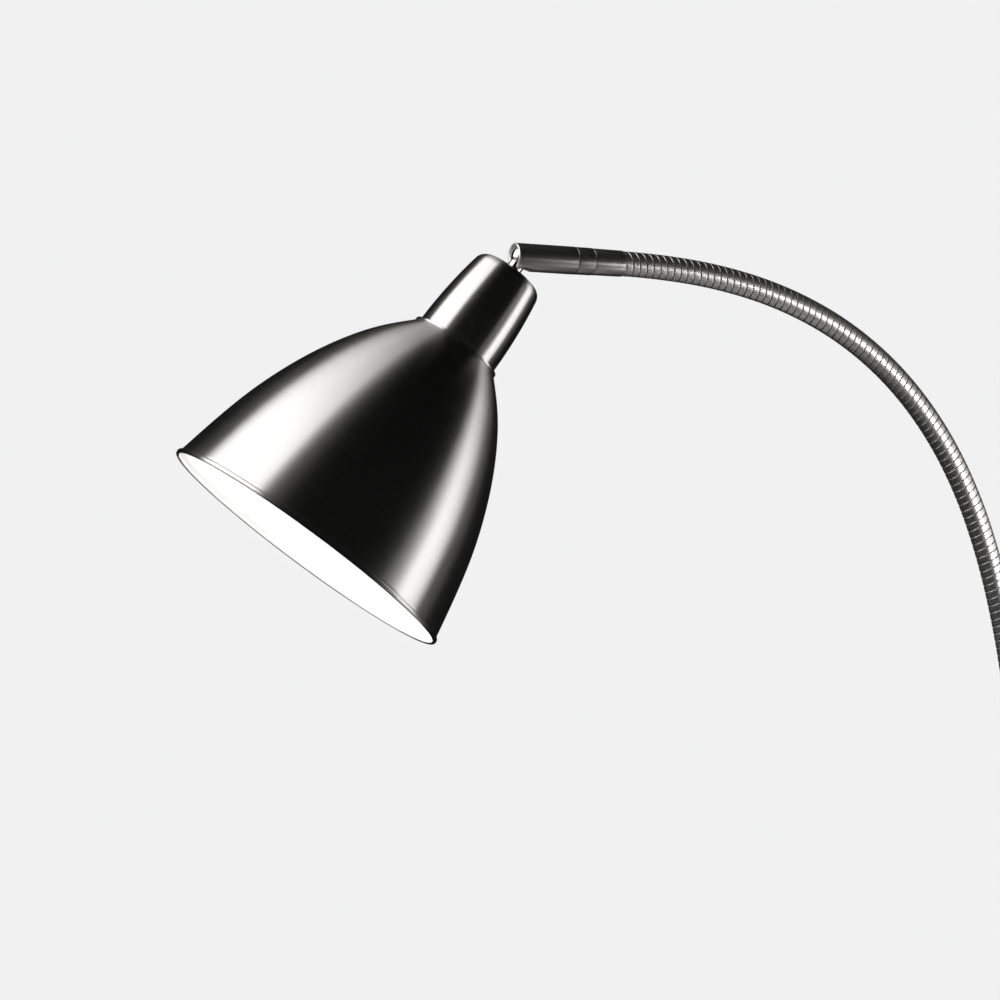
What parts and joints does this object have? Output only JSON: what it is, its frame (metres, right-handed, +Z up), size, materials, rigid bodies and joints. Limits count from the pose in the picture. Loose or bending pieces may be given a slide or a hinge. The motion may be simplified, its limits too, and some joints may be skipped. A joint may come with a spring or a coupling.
{
  "type": "gooseneck floor lamp",
  "caption": "Gooseneck reading floor lamp with a round weighted base, ribbed metal neck and a spun bell shade on a slotted ball joint",
  "frame": {"origin": "centre of the flat underside of the base, on the floor", "axes": "+Z up along the pole; the neck arches towards -X; +X is the rear, with the cable inlet; Y is to the side"},
  "size_m": [0.6059, 0.24, 1.3462],
  "materials": {
    "satin_steel": "satin, brushed round",
    "shade_steel": "spun and brushed round outside, white enamel inside",
    "neck_steel": "satin",
    "polished_steel": "polished",
    "hardware_steel": "zinc plated",
    "base_iron": "bare casting",
    "foot_foam": "matt",
    "black_plastic": "matt",
    "seat_plastic": "natural",
    "brass": "plain",
    "bulb_cap_metal": "plain",
    "bulb_glass": "white frosted"
  },
  "bodies": {
    "stand": {"base_cover": "satin_steel", "base_weight": "base_iron", "base_pad": "foot_foam", "base_stud": "hardware_steel", "base_washer": "hardware_steel", "base_nut": "hardware_steel", "cord_gland": "black_plastic", "pole_collar": "satin_steel", "pole_foot_insert": "hardware_steel", "pole_lower": "satin_steel", "pole_middle": "satin_steel", "pole_upper": "satin_steel", "connector_lower": "polished_steel", "connector_upper": "polished_steel", "neck_socket": "satin_steel", "socket_screw": "hardware_steel", "neck_link_01": "neck_steel"},
    "neck_02": {"neck_link_02": "neck_steel"},
    "neck_03": {"neck_link_03": "neck_steel"},
    "neck_04": {"neck_link_04": "neck_steel"},
    "neck_05": {"neck_link_05": "neck_steel"},
    "neck_06": {"neck_link_06": "neck_steel"},
    "neck_07": {"neck_link_07": "neck_steel"},
    "neck_08": {"neck_link_08": "neck_steel"},
    "neck_09": {"neck_link_09": "neck_steel"},
    "neck_10": {"neck_link_10": "neck_steel"},
    "neck_11": {"neck_link_11": "neck_steel"},
    "neck_12": {"neck_link_12": "neck_steel", "neck_ferrule": "satin_steel", "swivel_ring": "satin_steel", "swivel_stud": "hardware_steel"},
    "tube": {"joint_tube": "satin_steel", "swivel_washer": "hardware_steel", "ball_seat": "seat_plastic", "seat_springs": "hardware_steel"},
    "head": {"ball_stem": "polished_steel", "shade_cap": "shade_steel", "stem_washer": "hardware_steel", "stem_nut": "hardware_steel", "shade_bell": "shade_steel", "shade_ring": "black_plastic", "holder_crown": "black_plastic", "holder_body": "black_plastic", "holder_shell": "brass", "holder_contact": "brass", "terminal_screws": "brass", "bulb_contact": "brass", "bulb_cap": "bulb_cap_metal", "bulb_glass": "bulb_glass"}
  },
  "joints": [
    {"name": "neck_arch_01", "type": "hinge", "parent": "stand", "child": "neck_02", "pos_m": [-0.00098, 0, 1.03998], "axis": [0, -1, 0], "range_deg": [-9, 9]},
    {"name": "neck_sway_02", "type": "hinge", "parent": "neck_02", "child": "neck_03", "pos_m": [-0.00408, 0, 1.07986], "axis": [-0.9943, 0, -0.1063], "range_deg": [-9, 9]},
    {"name": "neck_arch_03", "type": "hinge", "parent": "neck_03", "child": "neck_04", "pos_m": [-0.00968, 0, 1.11946], "axis": [0, -1, 0], "range_deg": [-9, 9]},
    {"name": "neck_sway_04", "type": "hinge", "parent": "neck_04", "child": "neck_05", "pos_m": [-0.0182, 0, 1.15853], "axis": [-0.9677, 0, -0.2521], "range_deg": [-9, 9]},
    {"name": "neck_arch_05", "type": "hinge", "parent": "neck_05", "child": "neck_06", "pos_m": [-0.03039, 0, 1.1966], "axis": [0, -1, 0], "range_deg": [-9, 9]},
    {"name": "neck_sway_06", "type": "hinge", "parent": "neck_06", "child": "neck_07", "pos_m": [-0.04759, 0, 1.23267], "axis": [-0.8652, 0, -0.5015], "range_deg": [-9, 9]},
    {"name": "neck_arch_07", "type": "hinge", "parent": "neck_07", "child": "neck_08", "pos_m": [-0.07089, 0, 1.2651], "axis": [0, -1, 0], "range_deg": [-9, 9]},
    {"name": "neck_sway_08", "type": "hinge", "parent": "neck_08", "child": "neck_09", "pos_m": [-0.10026, 0, 1.29215], "axis": [-0.5962, 0, -0.8028], "range_deg": [-9, 9]},
    {"name": "neck_arch_09", "type": "hinge", "parent": "neck_09", "child": "neck_10", "pos_m": [-0.13458, 0, 1.31257], "axis": [0, -1, 0], "range_deg": [-9, 9]},
    {"name": "neck_sway_10", "type": "hinge", "parent": "neck_10", "child": "neck_11", "pos_m": [-0.17214, 0, 1.32617], "axis": [-0.2571, 0, -0.9664], "range_deg": [-9, 9]},
    {"name": "neck_arch_11", "type": "hinge", "parent": "neck_11", "child": "neck_12", "pos_m": [-0.21137, 0, 1.33383], "axis": [0, -1, 0], "range_deg": [-9, 9]},
    {"name": "shade_swivel", "type": "hinge", "parent": "neck_12", "child": "tube", "pos_m": [-0.27851, 0, 1.3379], "axis": [-0.9995, 0, 0.0332], "range_deg": [-170, 170]},
    {"name": "shade_tilt", "type": "hinge", "parent": "tube", "child": "head", "pos_m": [-0.3075, 0, 1.33886], "axis": [-0.004, -0.9925, -0.1218], "range_deg": [-54, 34]}
  ],
  "couplings": [
    {"joint": "neck_arch_03", "follows": "neck_arch_01", "ratio": 1},
    {"joint": "neck_sway_04", "follows": "neck_sway_02", "ratio": 1},
    {"joint": "neck_arch_05", "follows": "neck_arch_01", "ratio": 1},
    {"joint": "neck_sway_06", "follows": "neck_sway_02", "ratio": 1},
    {"joint": "neck_arch_07", "follows": "neck_arch_01", "ratio": 1},
    {"joint": "neck_sway_08", "follows": "neck_sway_02", "ratio": 1},
    {"joint": "neck_arch_09", "follows": "neck_arch_01", "ratio": 1},
    {"joint": "neck_sway_10", "follows": "neck_sway_02", "ratio": 1},
    {"joint": "neck_arch_11", "follows": "neck_arch_01", "ratio": 1}
  ]
}
